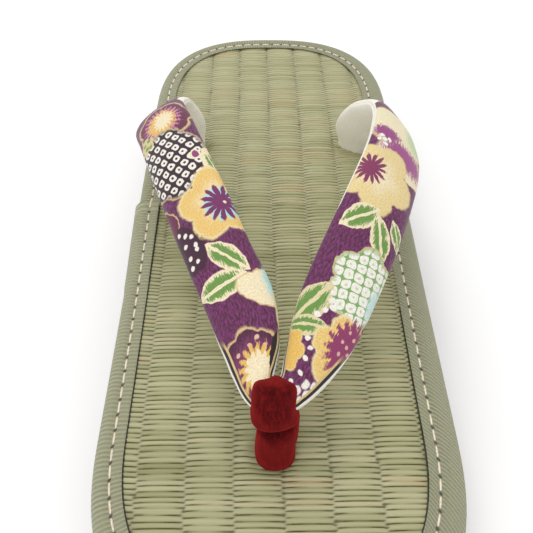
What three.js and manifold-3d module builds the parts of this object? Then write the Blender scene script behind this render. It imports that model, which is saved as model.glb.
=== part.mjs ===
// A zori: a flat Japanese sandal with a rush mat footbed, a tape-bound edge, a foam wedge
// and a rubber outsole. Its upper is the hanao, one padded strap that rises from two rear
// holes and is held down in front by a toe post.
// Millimetres, +Z up. The toe points to -Y, the wearer's heel to +Y, and the sole stands on Z = 0.
import * as THREE from "three";
import Module from "manifold-3d";

const wasm = await Module();
wasm.setup();

// ---- driving dimensions ----
const LENGTH = 245;
const HEEL_HALF_WIDTH = 47.6;
const FOREFOOT_HALF_WIDTH = 47;
const CAP_DEPTH = 50; // how far the rounded ends of the oval reach in from the tips
const CAP_POWER = 2.6; // 2 is an ellipse, more is squarer
const BED_MIDDLE_HEIGHT = 26; // top of the mat over the floor, halfway along
const BED_SLOPE = THREE.MathUtils.degToRad(2.5); // the heel is higher
const GAP = 0.35; // between pieces that meet

const MAT_THICK = 4.7;
const MAT_INSET = 1.5; // the tape wraps the mat's edge, so the mat is that much smaller
const TAPE_THICK = 0.9;
const TAPE_REACH = 8.5; // how far the tape covers the mat, from the outside
const MIDSOLE_TOP_INSET = 1;
const MIDSOLE_FOOT_INSET = 3.6;
const MIDSOLE_WALL_INSET = 1.6; // the wall bellies out here, at a share of its height
const MIDSOLE_WALL_SHARE = 0.6;
const SEAM_FROM_TIP = 1.6; // the heel's seam line, measured from the tip of the oval
const OUTSOLE_FOLLOWS = 0.9; // share of the underside's lift that the top of the outsole takes on
const OUTSOLE_INSET = 3;
const OUTSOLE_THICK = 5;

const ARCH_LIFT = 1.6;
const ARCH = { from: -28, to: 18, ramp: 9 };
const TOE_SPRING = { from: -78, lift: 7, power: 1.8 };
const HEEL_BEVEL = { from: 110, lift: 2.5, power: 2 };
const TREAD = { depth: 1.4, groove: 2.2, pitch: 9.2, draft: 0.05 };
const TREAD_FIELDS = [
  { from: -76, count: 5 },
  { from: 27, count: 9 },
];

// Everything on the bed is placed by its distance from the heel's seam line, as a maker measures it.
const BED_FROM_HEEL = LENGTH / 2 - SEAM_FROM_TIP;
const along = (fromHeel) => BED_FROM_HEEL - fromHeel;

// ---- outline of the sole, an oval with squarish ends ----
function halfWidth(y, inset = 0) {
  const blend = THREE.MathUtils.smoothstep(y, -LENGTH / 4, LENGTH / 4);
  const side = THREE.MathUtils.lerp(FOREFOOT_HALF_WIDTH, HEEL_HALF_WIDTH, blend) - inset;
  const depth = CAP_DEPTH - inset;
  const into = (Math.abs(y) - (LENGTH / 2 - CAP_DEPTH)) / depth;
  if (into <= 0) return side;
  return side * Math.pow(Math.max(0, 1 - Math.pow(Math.min(1, into), CAP_POWER)), 1 / CAP_POWER);
}

// Stations along the sole, closer together towards the tips, plus any extra ones,
// as shares of the half length.
function stations(extra = [], capSteps = 11, middleSteps = 6) {
  const cap = CAP_DEPTH / (LENGTH / 2);
  const shares = [];
  for (let i = 0; i <= capSteps; i++) {
    const turn = (i / capSteps) * (Math.PI / 2);
    const share = 1 - cap + cap * Math.pow(Math.sin(turn), 2 / CAP_POWER);
    shares.push(share, -share);
  }
  for (let i = 1; i < middleSteps; i++) shares.push((1 - cap) * ((2 * i) / middleSteps - 1));
  shares.push(...extra.map((y) => y / (LENGTH / 2)));
  shares.sort((a, b) => a - b);
  return shares.filter((s, i) => i === 0 || s - shares[i - 1] > 1e-4);
}

// ---- meshes and solids ----
function geometryOf(points, triangles) {
  const geometry = new THREE.BufferGeometry();
  geometry.setAttribute("position", new THREE.Float32BufferAttribute(points.flat(), 3));
  geometry.setIndex(triangles.flat());
  geometry.computeVertexNormals();
  return geometry;
}

function solidFrom(points, triangles) {
  return new wasm.Manifold(
    new wasm.Mesh({
      numProp: 3,
      vertProperties: new Float32Array(points.flat()),
      triVerts: new Uint32Array(triangles.flat()),
    }),
  );
}

function geometryFrom(solid) {
  const mesh = solid.getMesh();
  const geometry = new THREE.BufferGeometry();
  geometry.setAttribute("position", new THREE.BufferAttribute(mesh.vertProperties, 3));
  geometry.setIndex(new THREE.BufferAttribute(mesh.triVerts, 1));
  geometry.computeVertexNormals();
  return geometry;
}

// A plate with the sole's outline: layers run from the bottom up, each with an inset and a height at every y.
function plate(layers, shares) {
  const points = [];
  const triangles = [];
  const last = shares.length - 1;
  const perLayer = 2 * last;
  for (const { inset, height } of layers) {
    const half = LENGTH / 2 - inset;
    const ys = shares.map((s) => s * half);
    const right = ys.map((y, i) => [i === 0 || i === last ? 0 : halfWidth(y, inset), y, height(y)]);
    const left = right.slice(1, last).reverse().map(([x, y, z]) => [-x, y, z]);
    points.push(...right, ...left);
  }
  const leftOf = (i) => (i === 0 || i === last ? i : perLayer - i);
  for (let layer = 0; layer + 1 < layers.length; layer++) {
    for (let i = 0; i < perLayer; i++) {
      const a = layer * perLayer + i;
      const b = layer * perLayer + ((i + 1) % perLayer);
      triangles.push([a, b, b + perLayer], [a, b + perLayer, a + perLayer]);
    }
  }
  const top = (layers.length - 1) * perLayer;
  for (let i = 0; i < last; i++) {
    const [l0, r0, l1, r1] = [leftOf(i), i, leftOf(i + 1), i + 1];
    if (l0 !== r0) triangles.push([l0, l1, r0], [top + l0, top + r0, top + l1]);
    if (l1 !== r1) triangles.push([r0, l1, r1], [top + r0, top + r1, top + l1]);
  }
  return { points, triangles };
}

// A tape round the outline: the section is a closed loop of [inset, z], seen with the outside on the left.
function edgeBand(section, shares) {
  const last = shares.length - 1;
  const around = [];
  for (let i = 0; i <= last; i++) around.push([1, shares[i], i === 0 || i === last]);
  for (let i = last - 1; i > 0; i--) around.push([-1, shares[i], false]);
  const points = [];
  for (const [side, share, tip] of around) {
    for (const [inset, z] of section) {
      const y = share * (LENGTH / 2 - inset);
      points.push([tip ? 0 : side * halfWidth(y, inset), y, z]);
    }
  }
  const count = section.length;
  const triangles = [];
  for (let i = 0; i < around.length; i++) {
    const next = (i + 1) % around.length;
    for (let j = 0; j < count; j++) {
      const k = (j + 1) % count;
      triangles.push([i * count + j, next * count + j, next * count + k]);
      triangles.push([i * count + j, next * count + k, i * count + k]);
    }
  }
  return { points, triangles };
}

// Skin over rings of equal length, with a fan at each end.
function loft(rings) {
  const count = rings[0].length;
  const points = rings.flat().map((p) => p.toArray());
  const triangles = [];
  for (let i = 0; i + 1 < rings.length; i++) {
    for (let j = 0; j < count; j++) {
      const k = (j + 1) % count;
      triangles.push([i * count + j, i * count + k, (i + 1) * count + k]);
      triangles.push([i * count + j, (i + 1) * count + k, (i + 1) * count + j]);
    }
  }
  for (const end of [0, rings.length - 1]) {
    const middle = new THREE.Vector3();
    rings[end].forEach((p) => middle.addScaledVector(p, 1 / count));
    points.push(middle.toArray());
    for (let j = 0; j < count; j++) {
      const [a, b] = [end * count + j, end * count + ((j + 1) % count)];
      triangles.push(end === 0 ? [points.length - 1, b, a] : [points.length - 1, a, b]);
    }
  }
  return solidFrom(points, triangles);
}

// ---- sole ----
function bottomLift(y) {
  const step = THREE.MathUtils.smoothstep;
  const toe = Math.max(0, (TOE_SPRING.from - y) / (LENGTH / 2 + TOE_SPRING.from));
  const heel = Math.max(0, (y - HEEL_BEVEL.from) / (LENGTH / 2 - HEEL_BEVEL.from));
  const arch = step(y, ARCH.from - ARCH.ramp, ARCH.from) * (1 - step(y, ARCH.to, ARCH.to + ARCH.ramp));
  return (
    TOE_SPRING.lift * toe ** TOE_SPRING.power + HEEL_BEVEL.lift * heel ** HEEL_BEVEL.power + ARCH_LIFT * arch
  );
}
const bedPlane = (y, below) =>
  BED_MIDDLE_HEIGHT + y * Math.tan(BED_SLOPE) - below / Math.cos(BED_SLOPE);
const outsoleTop = (y) => bottomLift(y) * OUTSOLE_FOLLOWS + OUTSOLE_THICK;

// Each groove of the tread is cut by four stations: down, along its floor and up again.
const grooveEdges = TREAD_FIELDS.flatMap(({ from, count }) =>
  Array.from({ length: count }, (_, i) => [from + i * TREAD.pitch, from + i * TREAD.pitch + TREAD.groove]),
);
const inGroove = (y) => grooveEdges.some(([start, end]) => y > start && y < end);
const grooveSteps = grooveEdges.flat().flatMap((edge) => [edge - TREAD.draft, edge + TREAD.draft]);
const archSteps = [ARCH.from - ARCH.ramp, ARCH.from, ARCH.to, ARCH.to + ARCH.ramp];

function outsole() {
  const shares = stations([...grooveSteps, ...archSteps, TOE_SPRING.from, HEEL_BEVEL.from]);
  const onOval = LENGTH / (LENGTH - 2 * OUTSOLE_INSET);
  const under = (y) => bottomLift(y) + (inGroove(y * onOval) ? TREAD.depth : 0);
  const layers = [
    { inset: OUTSOLE_INSET, height: under },
    { inset: OUTSOLE_INSET, height: outsoleTop },
  ];
  const made = plate(layers, shares);
  return geometryOf(made.points, made.triangles);
}

function midsole() {
  const top = (y) => bedPlane(y, MAT_THICK + GAP);
  const bottom = (y) => outsoleTop(y) + GAP;
  const between = (share) => (y) => THREE.MathUtils.lerp(bottom(y), top(y), share);
  const layers = [
    { inset: MIDSOLE_FOOT_INSET, height: bottom },
    { inset: MIDSOLE_WALL_INSET, height: between(MIDSOLE_WALL_SHARE) },
    { inset: MIDSOLE_TOP_INSET, height: top },
  ];
  const made = plate(layers, stations([...archSteps, TOE_SPRING.from, HEEL_BEVEL.from]));
  return geometryOf(made.points, made.triangles);
}

// ---- hanao: the upper, in the bed's own frame, where z = 0 is the top of the mat ----
// Rows run from the rear hole to the toe post. turn is the way that the strap's outer edge points in plan,
// from straight out (0) to the toe (90), and tilt is how far that edge hangs below the inner one.
const RIGHT_STRAP = [
  { x: 31.4, fromHeel: 75.5, z: -MAT_THICK + 0.1, width: 12, thick: 8, turn: 30, tilt: 0 },
  { x: 31.4, fromHeel: 75.5, z: 0.8, width: 12.6, thick: 8.2, turn: 30, tilt: 0 },
  { x: 31.6, fromHeel: 77.6, z: 7.4, width: 17, thick: 8.2, turn: 22, tilt: 12 },
  { x: 34.4, fromHeel: 83, z: 15, width: 19, thick: 7.4, turn: 12, tilt: 46 },
  { x: 37.6, fromHeel: 91, z: 20.8, width: 19.5, thick: 7, turn: 8, tilt: 57 },
  { x: 38.4, fromHeel: 102, z: 25.8, width: 20, thick: 6.8, turn: 12, tilt: 49 },
  { x: 36.6, fromHeel: 115, z: 29.6, width: 20.5, thick: 6.8, turn: 14, tilt: 42 },
  { x: 33, fromHeel: 128, z: 31, width: 20.6, thick: 6.8, turn: 18, tilt: 37 },
  { x: 25.2, fromHeel: 147.5, z: 30, width: 20.4, thick: 6.8, turn: 23, tilt: 30 },
  { x: 15.8, fromHeel: 167.5, z: 25.8, width: 19.2, thick: 6.8, turn: 22, tilt: 22 },
  { x: 11, fromHeel: 178, z: 22.8, width: 16.8, thick: 6.8, turn: 27, tilt: 18 },
  { x: 6.8, fromHeel: 186.4, z: 20.8, width: 12.6, thick: 6.6, turn: 42, tilt: 24 },
  { x: 3, fromHeel: 192, z: 20, width: 8.8, thick: 5.8, turn: 64, tilt: 38 },
];
const LEFT_STRAP = [
  { x: -31.6, fromHeel: 75.5, z: -MAT_THICK + 0.1, width: 12, thick: 8, turn: 30, tilt: 0 },
  { x: -31.6, fromHeel: 75.5, z: 0.8, width: 12.6, thick: 8.2, turn: 30, tilt: 0 },
  { x: -32.8, fromHeel: 76.5, z: 8, width: 17, thick: 8.2, turn: 22, tilt: 6 },
  { x: -36.4, fromHeel: 81.5, z: 17, width: 19, thick: 7.4, turn: 18, tilt: 20 },
  { x: -38.2, fromHeel: 90.5, z: 23.2, width: 19.8, thick: 7, turn: 14, tilt: 28 },
  { x: -34.5, fromHeel: 103.5, z: 27.2, width: 19.6, thick: 6.8, turn: 16, tilt: 30 },
  { x: -28.8, fromHeel: 120.5, z: 29.2, width: 19.4, thick: 6.8, turn: 18, tilt: 30 },
  { x: -21.2, fromHeel: 141, z: 29, width: 19.2, thick: 6.8, turn: 18, tilt: 28 },
  { x: -14.9, fromHeel: 157, z: 27.2, width: 18.2, thick: 6.8, turn: 18, tilt: 22 },
  { x: -9.6, fromHeel: 169, z: 24.4, width: 18, thick: 6.8, turn: 22, tilt: 18 },
  { x: -6.9, fromHeel: 179.5, z: 22, width: 15.2, thick: 6.8, turn: 34, tilt: 20 },
  { x: -5.9, fromHeel: 186.5, z: 20.7, width: 11.8, thick: 6.4, turn: 50, tilt: 28 },
  { x: -4.6, fromHeel: 191.6, z: 20, width: 8.8, thick: 5.8, turn: 68, tilt: 40 },
];
// Both straps run into this one row, where the toe post holds them down.
const NECK = { x: -1.4, fromHeel: 194.4, z: 19.6, width: 7.4, thick: 5.2, turn: 90, tilt: 48 };
const STRAP_SIDES = 18;
const RINGS_PER_ROW = 3;
const CROWN_SHARE = 0.6; // how much of the thickness stands above the strap's widest line
const STRAP_POWER = 2.3;

// The direction from the strap's inner edge to its outer edge at one row.
function acrossOf(row, side) {
  const turn = THREE.MathUtils.degToRad(row.turn);
  const tilt = THREE.MathUtils.degToRad(row.tilt);
  const flat = Math.cos(tilt);
  return new THREE.Vector3(side * Math.cos(turn) * flat, -Math.sin(turn) * flat, -Math.sin(tilt));
}

function strapRows() {
  const place = (row, side) => ({
    at: new THREE.Vector3(row.x, along(row.fromHeel), row.z),
    across: acrossOf(row, side),
    width: row.width,
    thick: row.thick,
  });
  const right = RIGHT_STRAP.map((row) => place(row, 1));
  const left = LEFT_STRAP.map((row) => place(row, -1)).reverse();
  // The tables meet at the neck. Past it, the outer edge is on the strap's other hand.
  return [...right, place(NECK, 1), ...left];
}

function catmullRom(p0, p1, p2, p3, t) {
  const square = 2 * p0 - 5 * p1 + 4 * p2 - p3;
  const cube = 3 * p1 - p0 - 3 * p2 + p3;
  return 0.5 * (2 * p1 + (p2 - p0) * t + square * t ** 2 + cube * t ** 3);
}

// A point on a rounded box's outline of the given half sizes: 2 is an ellipse, a higher power is squarer.
function squircle(k, sides, power, halfWide, halfHigh) {
  const turn = (k / sides) * 2 * Math.PI;
  const [c, s] = [Math.cos(turn), Math.sin(turn)];
  return [
    Math.sign(c) * Math.abs(c) ** (2 / power) * halfWide,
    Math.sign(s) * Math.abs(s) ** (2 / power) * halfHigh,
  ];
}

function rowBetween(rows, i, t) {
  const pick = [i - 1, i, i + 1, i + 2].map((k) => rows[THREE.MathUtils.clamp(k, 0, rows.length - 1)]);
  const mix = (read) => catmullRom(...pick.map(read), t);
  const vector = (read) => new THREE.Vector3(...["x", "y", "z"].map((axis) => mix((row) => read(row)[axis])));
  return {
    at: vector((row) => row.at),
    across: vector((row) => row.across).normalize(),
    width: mix((row) => row.width),
    thick: mix((row) => row.thick),
  };
}

// The strap's rings, each a flattened oval that is fuller above than below.
// grow makes the clearance round it.
function strapRings(grow = 0) {
  const rows = strapRows();
  const path = [];
  for (let i = 0; i + 1 < rows.length; i++) {
    for (let step = 0; step < RINGS_PER_ROW; step++) path.push(rowBetween(rows, i, step / RINGS_PER_ROW));
  }
  path.push(rows.at(-1));
  return path.map((row, i) => {
    const before = path[Math.max(0, i - 1)].at;
    const after = path[Math.min(path.length - 1, i + 1)].at;
    const ahead = after.clone().sub(before).normalize();
    const across = row.across.clone().addScaledVector(ahead, -row.across.dot(ahead)).normalize();
    // Outer edge on the right hand going forward on the right strap: up is ahead x across.
    const up = ahead.clone().cross(across).normalize();
    const half = row.width / 2 + grow;
    return Array.from({ length: STRAP_SIDES }, (_, k) => {
      const share = k < STRAP_SIDES / 2 ? CROWN_SHARE : 1 - CROWN_SHARE;
      const [out, rise] = squircle(k, STRAP_SIDES, STRAP_POWER, half, row.thick * share + grow);
      return row.at.clone().addScaledVector(across, out).addScaledVector(up, rise);
    });
  });
}

const hanaoSolid = loft(strapRings());
const hanaoRoom = loft(strapRings(GAP));

// ---- toe post: a velvet loop over the strap's neck, whose two ends go down one hole ----
const POST_ROWS = [
  { x: -1.8, fromHeel: 198.8, z: -MAT_THICK + 0.1, halfX: 3.8, halfY: 3.4 },
  { x: -1.8, fromHeel: 198.8, z: 0.4, halfX: 4.1, halfY: 3.6 },
  { x: -1.8, fromHeel: 198.6, z: 3.4, halfX: 4.6, halfY: 4.2 },
  { x: -1.7, fromHeel: 198.2, z: 7, halfX: 4.7, halfY: 4.2 },
  { x: -1.6, fromHeel: 197.4, z: 10.2, halfX: 4.4, halfY: 3.8 },
  { x: -1.5, fromHeel: 196.8, z: 12.4, halfX: 4.1, halfY: 3.5 },
  { x: -1.4, fromHeel: 196, z: 15, halfX: 4.3, halfY: 3.6 },
];
// The loop lies over the neck: half its length across, its wall round the strap, and how far it rides up.
const LOOP = { halfX: 5.3, wall: 2.3, power: 2.5, rides: 0.6, steps: 10 };
const POST_SIDES = 20;

// A ring of the post's shape at one row and height, grown for clearance.
function postRing(row, z, grow = 0) {
  return Array.from({ length: POST_SIDES }, (_, k) => {
    const [x, y] = squircle(k, POST_SIDES, 2, row.halfX + grow, row.halfY + grow);
    return new THREE.Vector3(row.x + x, along(row.fromHeel) + y, z);
  });
}

// The loop is a rounded pillow round the neck, longer in the way that the neck is wide.
function loopSolid() {
  const tilt = THREE.MathUtils.degToRad(NECK.tilt);
  const wide = new THREE.Vector3(0, -Math.cos(tilt), -Math.sin(tilt));
  const high = new THREE.Vector3(0, -Math.sin(tilt), Math.cos(tilt));
  const centre = new THREE.Vector3(NECK.x, along(NECK.fromHeel), NECK.z).addScaledVector(high, LOOP.rides);
  const halfWide = NECK.width / 2 + GAP + LOOP.wall;
  const halfHigh = NECK.thick / 2 + GAP + LOOP.wall;
  const rings = Array.from({ length: LOOP.steps - 1 }, (_, i) => {
    const lean = ((i + 1) / LOOP.steps) * Math.PI;
    const out = -LOOP.halfX * Math.sign(Math.cos(lean)) * Math.abs(Math.cos(lean)) ** (2 / LOOP.power);
    const girth = Math.sin(lean) ** (2 / LOOP.power);
    return Array.from({ length: POST_SIDES }, (_, k) => {
      const turn = (k / POST_SIDES) * 2 * Math.PI;
      return centre
        .clone()
        .add(new THREE.Vector3(out, 0, 0))
        .addScaledVector(wide, halfWide * girth * Math.cos(turn))
        .addScaledVector(high, -halfHigh * girth * Math.sin(turn));
    });
  });
  return loft(rings);
}

const postOutside = loft(POST_ROWS.map((row) => postRing(row, row.z))).add(loopSolid());
const toePostSolid = postOutside.subtract(hanaoRoom);

// ---- mat and tape, in the bed's frame ----
// The mat's edge rounds over under the tape: inset from the oval, and depth below the top of the mat.
const MAT_EDGE = [
  { inset: MAT_INSET, depth: MAT_THICK },
  { inset: MAT_INSET, depth: 2.2 },
  { inset: 2.4, depth: 0.8 },
  { inset: 4.6, depth: 0 },
];
// The holes go through the mat from below its bottom to above its top.
const HOLE_ENDS = [-MAT_THICK - 1, 1];

function matSolid() {
  const made = plate(MAT_EDGE.map(({ inset, depth }) => ({ inset, height: () => -depth })), stations());
  const postRoom = loft(HOLE_ENDS.map((z) => postRing(POST_ROWS[1], z, GAP)));
  const strapRoom = [RIGHT_STRAP, LEFT_STRAP].map((rows, i) => {
    const row = rows[1];
    const across = acrossOf(row, i === 0 ? 1 : -1);
    const beside = new THREE.Vector3(-across.y, across.x, 0);
    const ring = (z) =>
      Array.from({ length: STRAP_SIDES }, (_, k) => {
        const halfThick = row.thick * CROWN_SHARE + GAP;
        const [c, s] = squircle(k, STRAP_SIDES, STRAP_POWER, row.width / 2 + GAP, halfThick);
        const middle = new THREE.Vector3(row.x, along(row.fromHeel), z);
        return middle.addScaledVector(across, c).addScaledVector(beside, s);
      });
    return loft(HOLE_ENDS.map(ring));
  });
  const uncut = solidFrom(made.points, made.triangles);
  return [postRoom, ...strapRoom].reduce((mat, room) => mat.subtract(room), uncut);
}

// The tape's section as [inset, height over the mat]: down the outside, over the mat and back under itself.
const TAPE_TOP = GAP + TAPE_THICK;
const TAPE_WALL = MAT_INSET - GAP;
const TAPE_OUTSIDE = [
  [0, -MAT_THICK],
  [0, -2.2],
  [0.8, -0.5],
  [2.4, 0.7],
  [4.8, TAPE_TOP],
  [TAPE_REACH, TAPE_TOP],
];
const TAPE_INSIDE = [
  [TAPE_REACH, GAP],
  [4.5, GAP],
  [2.1, -0.45],
  [TAPE_WALL, -2.1],
  [TAPE_WALL, -MAT_THICK],
];

function edgeTape() {
  const made = edgeBand([...TAPE_OUTSIDE, ...TAPE_INSIDE], stations());
  return geometryOf(made.points, made.triangles);
}

// ---- assembly ----
function mesh(name, geometry, color, roughness) {
  const made = new THREE.Mesh(geometry, new THREE.MeshStandardMaterial({ color, roughness, metalness: 0 }));
  made.name = name;
  return made;
}

const bed = new THREE.Group();
bed.position.z = BED_MIDDLE_HEIGHT;
bed.rotation.x = BED_SLOPE;
bed.add(
  mesh("rush_mat", geometryFrom(matSolid()), 0xb9b78c, 0.8),
  mesh("edge_tape", edgeTape(), 0xa7ab8e, 0.9),
  mesh("hanao_strap", geometryFrom(hanaoSolid), 0x5f1f55, 0.85),
  mesh("toe_post", geometryFrom(toePostSolid), 0x7c1418, 0.95),
);

const zori = new THREE.Group();
zori.add(
  bed,
  mesh("foam_midsole", midsole(), 0x6b5d4a, 0.9),
  mesh("rubber_outsole", outsole(), 0x2e2a26, 0.85),
);

export default zori;
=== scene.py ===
import math
import bpy
import numpy as np
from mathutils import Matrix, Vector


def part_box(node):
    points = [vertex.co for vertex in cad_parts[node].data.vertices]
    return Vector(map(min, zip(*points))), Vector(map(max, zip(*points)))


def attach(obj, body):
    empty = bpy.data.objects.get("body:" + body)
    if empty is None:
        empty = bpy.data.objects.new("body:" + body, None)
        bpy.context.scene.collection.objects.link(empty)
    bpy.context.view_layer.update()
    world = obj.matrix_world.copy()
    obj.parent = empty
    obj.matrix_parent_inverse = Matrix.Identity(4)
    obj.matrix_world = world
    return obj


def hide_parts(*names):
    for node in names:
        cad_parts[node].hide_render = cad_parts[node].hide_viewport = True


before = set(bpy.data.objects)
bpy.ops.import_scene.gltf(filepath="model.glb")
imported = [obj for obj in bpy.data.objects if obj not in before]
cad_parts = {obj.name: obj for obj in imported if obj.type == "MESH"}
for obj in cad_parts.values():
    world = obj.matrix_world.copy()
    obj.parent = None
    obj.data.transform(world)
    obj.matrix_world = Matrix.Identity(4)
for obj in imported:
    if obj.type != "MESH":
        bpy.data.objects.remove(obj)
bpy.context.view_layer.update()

MM = 0.001

# ==== Camera, floor and light ====
# The sandal stands on a plain pale studio floor and is seen from over its toe end,
# looking down its length, under large soft lights.
CAMERA_PLACE_MM = (-3.5, -145.4, 166.8)
CAMERA_DOWN = math.radians(47.56)
CAMERA_YAW = math.radians(-0.41)
CAMERA_LENS = 40.53


def linear(code):
    """An sRGB hex colour as linear light, with alpha."""
    parts = [int(code[i:i + 2], 16) / 255 for i in (1, 3, 5)]
    return tuple(p / 12.92 if p <= 0.04045 else ((p + 0.055) / 1.055) ** 2.4 for p in parts) + (1.0,)


def node(tree, kind, feeds=None, out=0, **settings):
    """Adds one node: settings are its own values, feeds are its inputs, each a link or a number."""
    made = tree.nodes.new(kind)
    for name, value in settings.items():
        setattr(made, name, value)
    for socket, value in (feeds or {}).items():
        if isinstance(value, bpy.types.NodeSocket):
            tree.links.new(value, made.inputs[socket])
        else:
            made.inputs[socket].default_value = value
    return made.outputs[out]


def finish_named(name):
    """A new material's tree and its Principled shader, ready for links."""
    made = bpy.data.materials.new(name)
    made.use_nodes = True
    return made, made.node_tree, made.node_tree.nodes["Principled BSDF"]


camera_data = bpy.data.cameras.new("studio_camera")
camera_data.lens = CAMERA_LENS
camera_data.clip_start = 0.01
camera = bpy.data.objects.new("studio_camera", camera_data)
camera.location = [v * MM for v in CAMERA_PLACE_MM]
camera.rotation_euler = (math.pi / 2 - CAMERA_DOWN, 0, CAMERA_YAW)
bpy.context.collection.objects.link(camera)
bpy.context.scene.camera = camera

bpy.ops.object.select_all(action="DESELECT")
bpy.ops.mesh.primitive_plane_add(size=6)
floor = bpy.context.object
floor.name = "studio_floor"
# Seamless studio paper: plain, matt and nearly white, so it only takes a soft shadow.
paper, tree, shader = finish_named("seamless white paper, matt")
shader.inputs["Base Color"].default_value = linear("#FEFEFE")
shader.inputs["Roughness"].default_value = 0.9
floor.data.materials.append(paper)

world = bpy.data.worlds.new("pale room")
world.use_nodes = True
world.node_tree.nodes["Background"].inputs["Color"].default_value = linear("#FFFFFF")
world.node_tree.nodes["Background"].inputs["Strength"].default_value = 0.78
bpy.context.scene.world = world
bpy.context.scene.view_settings.view_transform = "Standard"

SOFTBOXES = [
    # name, place and aim in metres, size, watts
    ("softbox_over", (-0.15, 0.30, 0.85), (0, 0.04, 0.02), 0.60, 2.6),
    ("softbox_toe", (-0.20, -0.70, 0.60), (0, 0.02, 0.03), 0.70, 1.5),
]
for name, place, aim, size, watts in SOFTBOXES:
    bpy.ops.object.light_add(type="AREA", location=place)
    lamp = bpy.context.object
    lamp.name = name
    lamp.data.size = size
    lamp.data.energy = watts
    toward = [a - b for a, b in zip(aim, place)]
    flat = math.hypot(toward[0], toward[1])
    lamp.rotation_euler = (math.atan2(flat, -toward[2]), 0, math.atan2(toward[1], toward[0]) - math.pi / 2)

# ==== Rubber outsole ====
# A thin black-brown rubber sheet, moulded with cross grooves under the heel and the ball of the foot,
# cut to the oval and glued under the wedge. It lifts at the toe and a little at the arch.
LENGTH = 245.0
HEEL_HALF_WIDTH = 47.6
FOREFOOT_HALF_WIDTH = 47.0
CAP_DEPTH = 50.0
CAP_POWER = 2.6
OUTSOLE_INSET = 3.0
OUTSOLE_THICK = 5.0
OUTSOLE_FOLLOWS = 0.9  # share of the underside's lift that the top takes on
TOE_SPRING = {"from": -78.0, "lift": 7.0, "power": 1.8}
HEEL_BEVEL = {"from": 110.0, "lift": 2.5, "power": 2.0}
ARCH = {"from": -28.0, "to": 18.0, "ramp": 9.0, "lift": 1.6}
TREAD_DEPTH = 1.4
TREAD_GROOVE = 2.2
TREAD_PITCH = 9.2
TREAD_WALL = (0.6, 1.1)  # where a groove's side starts and ends, from the groove's middle
TREAD_FIELDS = [(-76.0, 5), (27.0, 9)]  # where each starts along the sole, and its number of grooves


def half_width(y, inset=0.0):
    """Half the oval's width at y, in mm, drawn in by inset."""
    y = np.asarray(y, dtype=float)
    share = np.clip((y + LENGTH / 4) / (LENGTH / 2), 0, 1)
    share = share * share * (3 - 2 * share)
    side = FOREFOOT_HALF_WIDTH + (HEEL_HALF_WIDTH - FOREFOOT_HALF_WIDTH) * share - inset
    into = np.clip((np.abs(y) - (LENGTH / 2 - CAP_DEPTH)) / (CAP_DEPTH - inset), 0, 1)
    return side * (1 - into ** CAP_POWER) ** (1 / CAP_POWER)


def smooth(low, high, value):
    """0 below low, 1 above high, with a soft start and end."""
    t = np.clip((value - low) / (high - low), 0, 1)
    return t * t * (3 - 2 * t)


def points_of(piece):
    """A piece's vertices as an array of rows."""
    flat = np.empty(len(piece.data.vertices) * 3)
    piece.data.vertices.foreach_get("co", flat)
    return flat.reshape(-1, 3)


def put_points(piece, points):
    """Moves a piece's vertices to the given rows."""
    piece.data.vertices.foreach_set("co", np.asarray(points, dtype=float).ravel())
    piece.data.update()


def face_outwards():
    """Turns the faces of the active piece outwards, and leaves edit mode."""
    bpy.ops.object.mode_set(mode="EDIT")
    bpy.ops.mesh.select_all(action="SELECT")
    bpy.ops.mesh.normals_make_consistent(inside=False)
    bpy.ops.object.mode_set(mode="OBJECT")


SLAB_BUNCH = 0.65  # how far a slab's rows crowd towards its round ends
SLAB_COLUMNS = 14


def sole_slab(name, bottom, bottom_inset, top, top_inset, along, rim):
    """A slab of the sole, two sheets joined by a wall: bottom and top give a sheet's height at y, in mm."""
    sheets = []
    for height, inset in ((bottom, bottom_inset), (top, top_inset)):
        bpy.ops.object.select_all(action="DESELECT")
        bpy.ops.mesh.primitive_grid_add(x_subdivisions=SLAB_COLUMNS, y_subdivisions=along, size=2)
        sheet = bpy.context.object
        even = points_of(sheet)
        unit = even + SLAB_BUNCH * (np.sin(even * math.pi / 2) - even)
        y = unit[:, 1] * (LENGTH / 2 - inset)
        x = unit[:, 0] * half_width(y, inset)
        put_points(sheet, np.column_stack([x, y, height(y)]) * MM)
        sheets.append(sheet)
    sheets[0].select_set(True)
    bpy.ops.object.join()
    slab = bpy.context.object
    slab.name = name
    bpy.ops.object.mode_set(mode="EDIT")
    bpy.ops.mesh.select_mode(type="EDGE")
    bpy.ops.mesh.select_all(action="SELECT")
    bpy.ops.mesh.remove_doubles(threshold=0.00001)
    bpy.ops.mesh.select_all(action="DESELECT")
    bpy.ops.mesh.select_non_manifold()
    bpy.ops.mesh.bridge_edge_loops()
    bpy.ops.mesh.region_to_loop()
    bpy.ops.mesh.bevel(offset=rim * MM, segments=3, affect="EDGES", clamp_overlap=True)
    face_outwards()
    bpy.ops.object.shade_smooth_by_angle(angle=math.radians(40))
    return slab


def sole_lift(y):
    """How far the sole's underside stands off the floor: toe spring, heel bevel and a low arch."""
    toe = np.clip((TOE_SPRING["from"] - y) / (LENGTH / 2 + TOE_SPRING["from"]), 0, None)
    heel = np.clip((y - HEEL_BEVEL["from"]) / (LENGTH / 2 - HEEL_BEVEL["from"]), 0, None)
    arch = smooth(ARCH["from"] - ARCH["ramp"], ARCH["from"], y)
    arch = arch * (1 - smooth(ARCH["to"], ARCH["to"] + ARCH["ramp"], y))
    lift = TOE_SPRING["lift"] * toe ** TOE_SPRING["power"] + HEEL_BEVEL["lift"] * heel ** HEEL_BEVEL["power"]
    return lift + ARCH["lift"] * arch


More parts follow.
